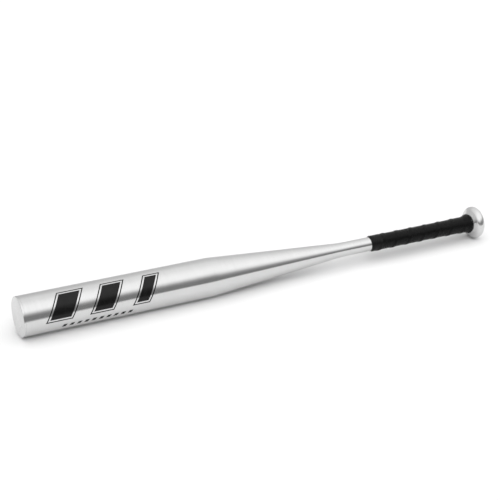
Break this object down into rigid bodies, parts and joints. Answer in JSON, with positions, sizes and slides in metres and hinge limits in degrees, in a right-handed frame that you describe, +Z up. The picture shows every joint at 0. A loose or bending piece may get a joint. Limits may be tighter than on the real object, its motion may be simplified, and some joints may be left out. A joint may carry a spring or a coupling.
{
  "type": "baseball bat",
  "caption": "Hollow aluminium baseball bat lying on its side: straight barrel, long taper, spiral-wrapped black grip and a rounded metal knob.",
  "frame": {"origin": "on the floor under the middle of the bat, which lies on its barrel and its knob", "axes": "+X along the bat from the barrel's end to the knob, +Z up; the printed marks face -Y"},
  "size_m": [0.7144, 0.0541, 0.056],
  "materials": {
    "brushed_aluminium": "satin brushed",
    "turned_aluminium": "fine turned face",
    "polished_aluminium": "polished",
    "foam": "closed cell foam",
    "adhesive_tape": "matte",
    "grip_leather": "fine grained, semi-matte",
    "black_tape": "satin vinyl",
    "printed_film": "black print with a pale border"
  },
  "bodies": {
    "root": {"bat_shell": "brushed_aluminium", "end_disc": "turned_aluminium", "knob": "polished_aluminium", "damping_plug": "foam", "grip_underlay": "adhesive_tape", "grip_wrap": "grip_leather", "finishing_tape": "black_tape", "bar_decal_1": "printed_film", "bar_decal_2": "printed_film", "bar_decal_3": "printed_film", "tick_decal": "printed_film"}
  },
  "joints": []
}
